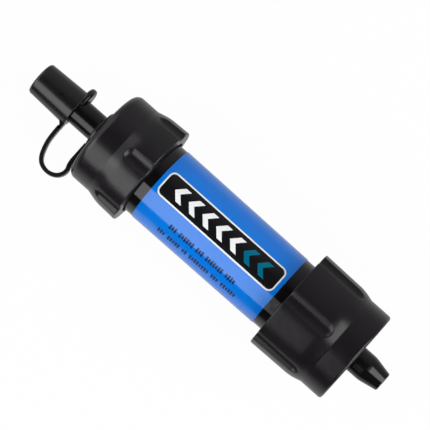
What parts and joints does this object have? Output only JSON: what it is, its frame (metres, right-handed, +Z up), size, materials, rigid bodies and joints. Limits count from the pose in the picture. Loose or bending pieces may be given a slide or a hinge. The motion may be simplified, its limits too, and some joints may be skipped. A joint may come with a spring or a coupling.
{
  "type": "inline squeeze water filter",
  "caption": "Slim tubular water filter with lobed black end caps, a blue-labelled tube, a tethered push-on cap over its drinking nozzle and a threaded bottle socket round a nipple.",
  "frame": {"origin": "on the filter's axis, in the plane of the bottle socket's mouth", "axes": "+X along the filter's axis, out of the bottle socket; +Z up as the filter lies on the lobes of its end caps; the cap's tether loops towards -Y"},
  "size_m": [0.137, 0.0374, 0.0338],
  "materials": {
    "tube_plastic": "moulded black, satin gloss",
    "label_film": "printed blue film, glossy",
    "cap_plastic": "moulded black, satin gloss",
    "spout_plastic": "moulded black, smooth",
    "closure_plastic": "soft moulded black, satin",
    "seal_rubber": "black silicone rubber, matt",
    "cage_plastic": "white moulded plastic",
    "potting_resin": "cast resin, cut face",
    "fibre_polymer": "white porous hollow fibre",
    "band_film": "translucent soft band"
  },
  "bodies": {
    "filter_body": {"body_tube": "tube_plastic", "label_sleeve": "label_film", "outlet_cap": "cap_plastic", "inlet_cap": "cap_plastic", "outlet_nozzle": "spout_plastic", "inlet_nipple": "spout_plastic", "bottle_washer": "seal_rubber", "outlet_o_ring": "seal_rubber", "inlet_o_ring": "seal_rubber", "cartridge_o_ring": "seal_rubber", "cartridge_sleeve": "cage_plastic", "potting_plug": "potting_resin", "fibre_bundle": "fibre_polymer", "bundle_band": "band_film", "inlet_baffle": "cage_plastic"},
    "tether": {"tether_ring": "closure_plastic", "tether_strap": "closure_plastic"},
    "nozzle_closure": {"nozzle_cap": "closure_plastic"}
  },
  "joints": [
    {"name": "tether_swivel", "type": "hinge", "parent": "filter_body", "child": "tether", "pos_m": [-0.1021, 0, 0], "axis": [-1, 0, 0], "continuous": true},
    {"name": "cap_pull", "type": "slide", "parent": "tether", "child": "nozzle_closure", "axis": [-1, 0, 0], "range_m": [0, 0.012], "deforming": ["tether_strap"]}
  ]
}
